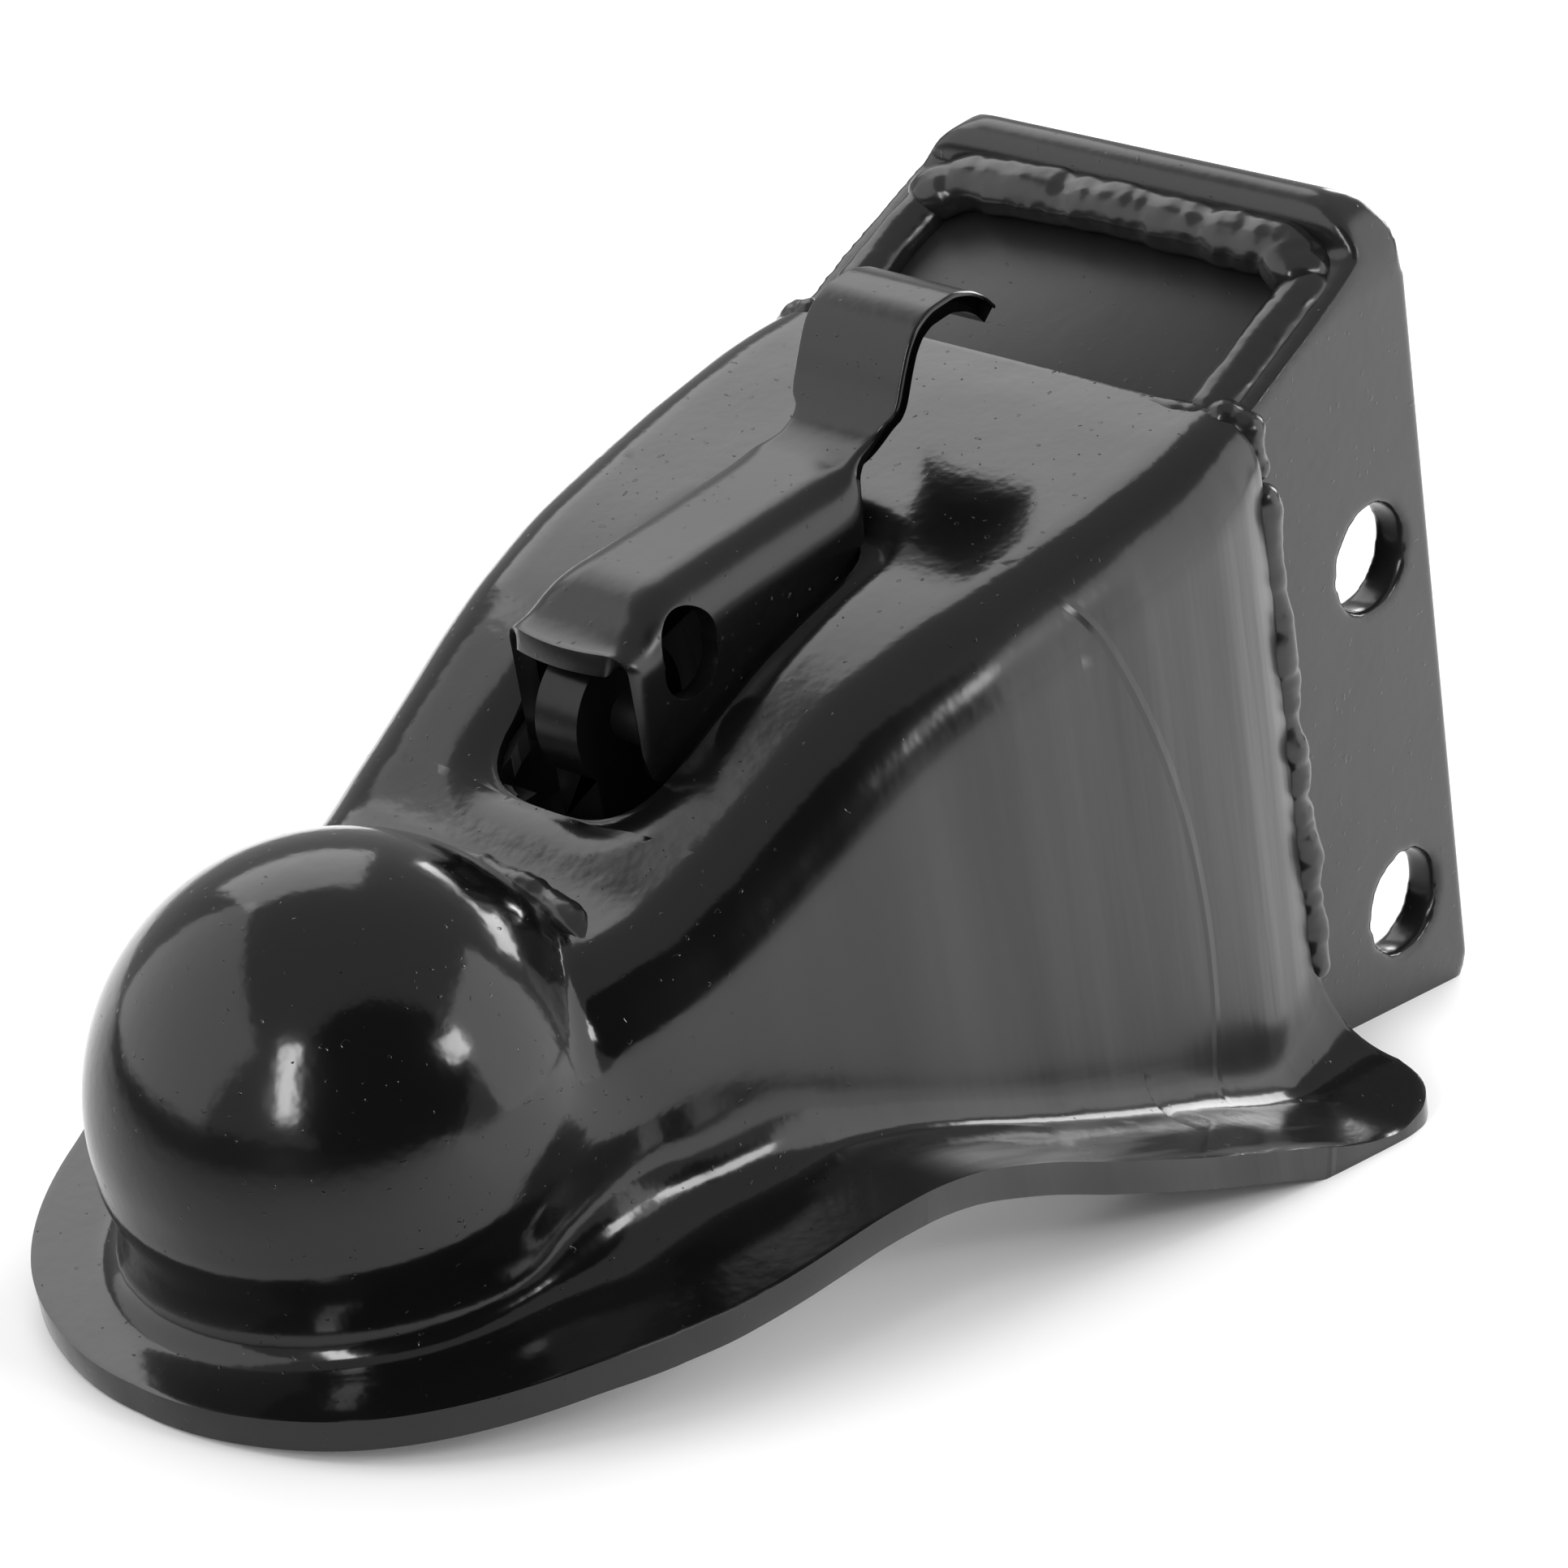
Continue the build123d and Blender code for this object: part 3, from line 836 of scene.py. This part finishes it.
def lever_section(w, r, h):
    """Half section as (x, drop below the top sheet): flat, corner and wall."""
    flat = [((w - r) * k / 12, 0.0) for k in range(13)]
    turns = [math.pi / 2 * k / 10 for k in range(1, 11)]
    corner = [(w - r + r * math.sin(a), r * (1 - math.cos(a))) for a in turns]
    wall = [(w, r + h * k / 18) for k in range(1, 19)]
    return flat + corner + wall


def lever_rows():
    """The lever's sheet as rows of points across it, in metres."""
    st = LEVER_STATIONS
    s = np.concatenate([[0], np.cumsum(np.hypot(np.diff(st[:, 0]), np.diff(st[:, 1])))])
    q = np.linspace(0, s[-1], ROWS_ALONG)
    y, z, w, r, h = (curve(s, st[:, k])(q) for k in range(5))
    ty, tz = np.gradient(y, q), np.gradient(z, q)
    n = np.hypot(ty, tz)
    ty, tz = ty / n, tz / n
    down = np.clip((TAB_START - y) / TAB_BLEND, 0, 1)
    rows = []
    for i in range(ROWS_ALONG):
        vy, vz = (tz[i] * (1 - down[i])), -(down[i] + ty[i] * (1 - down[i]))
        bow = LIP_BOW * max(0.0, 1 - (y[i] - st[0, 0]) / LIP_REACH)
        rows.append([(x * MM, (y[i] + d * vy - bow * max(0.0, 1 - (x / 12.0) ** 2)) * MM,
                      (z[i] + d * vz) * MM) for x, d in lever_section(w[i], r[i], h[i])])
    return rows


def side_hole():
    """Cutter for the oval hole in the near wall."""
    low, high = (cylinder((12, y, z), "X", SIDE_HOLE_R, 12, 48) for y, z in SIDE_HOLE)
    return combine(low, high, "UNION")


def build_lever():
    """Pressed lever: a channel that ends in a curled thumb tab, drawn as one sheet."""
    o = mirrored_sheet("lever", lever_rows(), 3e-5)
    modifier(o, "SOLIDIFY", thickness=settings().lever_thick, offset=-1.0, use_even_offset=False)
    combine(o, side_hole(), "DIFFERENCE")
    modifier(o, "BEVEL", width=0.0011, segments=4, limit_method="ANGLE", angle_limit=math.radians(60))
    smooth(o, 45)
    # The latch's inner faces get painted shade: their shine is taken off.
    coat = painted_shade_sides(paint("lever_enamel", 0.22), 0.0104)
    return finish_piece(o, "latch_lever", coat, ["lever"], "lever_body")


def build_yoke():
    """Eye on the lever's pin, with the flat and round stem below it."""
    eye = cylinder((0, PIN_Y, PIN_Z), "X", 11.0, 8.4, 72)
    combine(eye, cube((-4.2, PIN_Y - 8.5, 15.3), (4.2, PIN_Y + 8.5, PIN_Z)), "UNION")
    combine(eye, cylinder((0, PIN_Y, PIN_Z), "X", PIN_HOLE, 20, 48), "DIFFERENCE")
    modifier(eye, "BEVEL", width=0.0012, segments=3, limit_method="ANGLE", angle_limit=math.radians(35))
    stem = cylinder((0, PIN_Y, -10.0), "Z", 6.0, 52.0, 48)
    modifier(stem, "BEVEL", width=0.0008, segments=2, limit_method="ANGLE", angle_limit=math.radians(35))
    o = join([eye, stem])
    smooth(o, 35)
    coat = material("yoke_enamel", settings().paint, 0.25, effect=peel_group, specular=0.3)
    # The eye's side faces inside the latch get painted shade: their shine is taken off.
    return finish_piece(o, "yoke_eye", painted_shade_sides(coat, 0.0114), ["yoke"], "yoke_body")


# ------------------------------------------------------------------ carried-over solids
CARRIED = {
    "slot_liner": "paint", "clamp_guide": "paint", "lever_pin": "paint", "stem_washer": "zinc",
    "adjusting_nut": "zinc", "ball_clamp": "iron", "clamp_spring": "wire",
}


def dress_carried():
    c = settings()
    mats = {
        "paint": material("inner_enamel", c.paint, 0.45, effect=peel_group, specular=0.3),
        "zinc": material("zinc_plate", c.zinc, 0.28, 1.0, peel_group),
        "iron": material("clamp_cast", c.iron, 0.5, 0.6, ripple_group),
        "wire": material("spring_wire", (0.35, 0.35, 0.36), 0.3, 1.0, peel_group),
    }
    for node, kind in CARRIED.items():
        dress(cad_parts[node], mats[kind])


# ------------------------------------------------------------------ stage
TILT = math.radians(12.06)          # the part lies nose down on the table
UP = Vector((0, math.sin(TILT), math.cos(TILT)))
NOSE_FOOT = Vector((0, -0.0475, -0.026))
CAMERA_PLACE = (0.50812, -0.39023, 0.40422)
CAMERA_AXES = ((0.73918, 0.65864, -0.14075), (-0.24428, 0.45693, 0.8553), (0.62765, -0.59784, 0.49864))
CAMERA_LENS = 122.2


def tilt(v):
    """Direction or point of the studio turned into the part's frame."""
    return Matrix.Rotation(-TILT, 3, "X") @ Vector(v)


def studio_direction(azimuth, elevation):
    """Unit vector from the part: degrees from the nose and above the table."""
    a, e = math.radians(azimuth), math.radians(elevation)
    return tilt((math.sin(a) * math.cos(e), -math.cos(a) * math.cos(e), math.sin(e)))


def studio_aim():
    return tilt((0, 0.06, 0.01))


def softbox(label, azimuth, elevation, distance, width, height, radiance, seen=True):
    """Softbox aimed at the part: azimuth from the nose, how far, how large and how bright it looks."""
    aim = studio_aim()
    p = aim + studio_direction(azimuth, elevation) * distance
    deselect()
    bpy.ops.object.light_add(type="AREA", location=p)
    o = bpy.context.object
    name(o, label)
    o.data.shape = "RECTANGLE"
    o.data.size, o.data.size_y = width, height
    o.data.energy = radiance * math.pi * width * height
    o.rotation_euler = (aim - p).to_track_quat("-Z", "Y").to_euler()
    o.visible_glossy = seen
    return o


def floor_paint():
    """Pale floor, see-through from below. Mirrored in the paint it is dimmer before the nose."""
    pale = settings().floor
    m = bpy.data.materials.new("studio_floor")
    m.use_nodes = True
    t, p = m.node_tree, shader(m)
    p.inputs["Roughness"].default_value = 0.7
    shade = t.nodes.new("ShaderNodeVectorMath")
    shade.operation = "SCALE"
    shade.inputs[0].default_value = pale
    t.links.new(span(t, axes(t, "Object")["Y"], -0.17, 0.07, 0.0, 1.2), shade.inputs["Scale"])
    mirrored = t.nodes.new("ShaderNodeLightPath").outputs["Is Glossy Ray"]
    t.links.new(blend(t, "RGBA", mirrored, (*pale, 1), shade.outputs[0]), p.inputs["Base Color"])
    clear, mix = t.nodes.new("ShaderNodeBsdfTransparent"), t.nodes.new("ShaderNodeMixShader")
    below = t.nodes.new("ShaderNodeNewGeometry").outputs["Backfacing"]
    for number, socket in enumerate((below, p.outputs[0], clear.outputs[0])):
        t.links.new(socket, mix.inputs[number])
    t.links.new(mix.outputs[0], t.nodes["Material Output"].inputs["Surface"])
    return m


def build_floor():
    deselect()
    bpy.ops.mesh.primitive_plane_add(size=12, location=NOSE_FOOT - UP * 0.0004, rotation=(-TILT, 0, 0))
    floor = bpy.context.object
    dress(floor, floor_paint())
    name(floor, "floor")


def build_camera():
    bpy.ops.object.camera_add(location=CAMERA_PLACE)
    cam = bpy.context.object
    cam.rotation_euler = Matrix(CAMERA_AXES).transposed().to_euler()
    cam.data.lens = CAMERA_LENS
    cam.data.sensor_width = 36
    cam.data.clip_start = 0.01
    bpy.context.scene.camera = cam


def build_card():
    """Dark round card behind the camera: seen only in reflections, it puts the dark disc on the dome."""
    toward = studio_direction(62, 23)
    deselect()
    bpy.ops.mesh.primitive_circle_add(vertices=96, radius=0.74, fill_type="NGON",
                                      location=studio_aim() + toward * 1.0)
    card = bpy.context.object
    card.rotation_euler = toward.to_track_quat("Z", "Y").to_euler()
    dark = bpy.data.materials.new("dark_card")
    dark.use_nodes = True
    p = shader(dark)
    p.inputs["Base Color"].default_value = (0.005, 0.005, 0.005, 1)
    p.inputs["Roughness"].default_value = 1.0
    p.inputs["Specular IOR Level"].default_value = 0.0
    dress(card, dark)
    name(card, "camera_card")
    card.visible_camera = card.visible_shadow = card.visible_diffuse = False


# name, azimuth, elevation, distance, width, height, radiance, and False if reflections don't see it
SOFTBOXES = (
    ("softbox_back", -116, 42, 1.5, 0.9, 0.8, 1.9),
    ("softbox_rear", -172, 22, 1.4, 1.0, 0.6, 8.0),
    ("wall_left", -48, 24, 1.4, 2.1, 1.5, 1.05),
    ("wall_right", 130, 22, 1.4, 1.2, 1.3, 1.6),
    ("window_left", 18, 24, 0.95, 0.13, 0.50, 14),
    ("window_right", 99, 31, 0.9, 0.15, 0.17, 12),
    ("overhead", -20, 78, 1.6, 1.6, 1.6, 0.9, False),
)


def build_world():
    world = bpy.data.worlds.new("studio")
    bpy.context.scene.world = world
    world.use_nodes = True
    bg = world.node_tree.nodes["Background"]
    bg.inputs["Color"].default_value = (1, 1, 1, 1)
    bg.inputs["Strength"].default_value = 0.45
    bpy.context.scene.view_settings.view_transform = "Standard"


def build_stage():
    build_floor()
    build_camera()
    build_card()
    for box in SOFTBOXES:
        softbox(*box)
    build_world()


# ------------------------------------------------------------------ operators
def operator(idname, label, doc, run):
    """One operator per piece or group, all with the same small body."""
    def execute(self, context):
        run()
        return {"FINISHED"}
    return type("COUPLER_OT_" + idname, (bpy.types.Operator,), {
        "__doc__": doc, "bl_idname": "coupler." + idname, "bl_label": label, "execute": execute})


OPERATORS = [
    operator("body", "Pressed body", "Build the dome, neck, box and flange as one pressed sheet", build_body),
    operator("band", "Mounting band", "Build the upside-down U strap with its bolt holes", build_band),
    operator("face", "Face plate", "Build the recessed plate inside the band", build_face),
    operator("welds", "Weld beads", "Lay the uneven weld beads", build_welds),
    operator("lever", "Latch lever", "Build the channel lever with its curled thumb tab", build_lever),
    operator("yoke", "Yoke", "Build the eye and stem the lever pulls", build_yoke),
    operator("carried", "Inner parts", "Give the carried-over solids their materials", dress_carried),
    operator("stage", "Stage", "Set the floor, camera and lights", build_stage),
]


class COUPLER_PT_panel(bpy.types.Panel):
    """Sidebar panel with the sizes, colours and build buttons"""
    bl_label = "Coupler"
    bl_idname = "COUPLER_PT_panel"
    bl_space_type = "VIEW_3D"
    bl_region_type = "UI"
    bl_category = "Coupler"

    def draw(self, context):
        for prop in CouplerSettings.__annotations__:
            self.layout.prop(context.scene.coupler, prop)
        for op in OPERATORS:
            self.layout.operator(op.bl_idname)


CLASSES = [CouplerSettings, *OPERATORS, COUPLER_PT_panel]


def register():
    for cls in CLASSES:
        bpy.utils.register_class(cls)
    bpy.types.Scene.coupler = bpy.props.PointerProperty(type=CouplerSettings)


def unregister():
    del bpy.types.Scene.coupler
    for cls in reversed(CLASSES):
        bpy.utils.unregister_class(cls)


def main():
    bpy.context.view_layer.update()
    register()
    bpy.ops.coupler.body()
    bpy.ops.coupler.band()
    bpy.ops.coupler.face()
    bpy.ops.coupler.welds()
    bpy.ops.coupler.lever()
    bpy.ops.coupler.yoke()
    bpy.ops.coupler.carried()
    bpy.ops.coupler.stage()


if __name__ == "__main__":
    main()
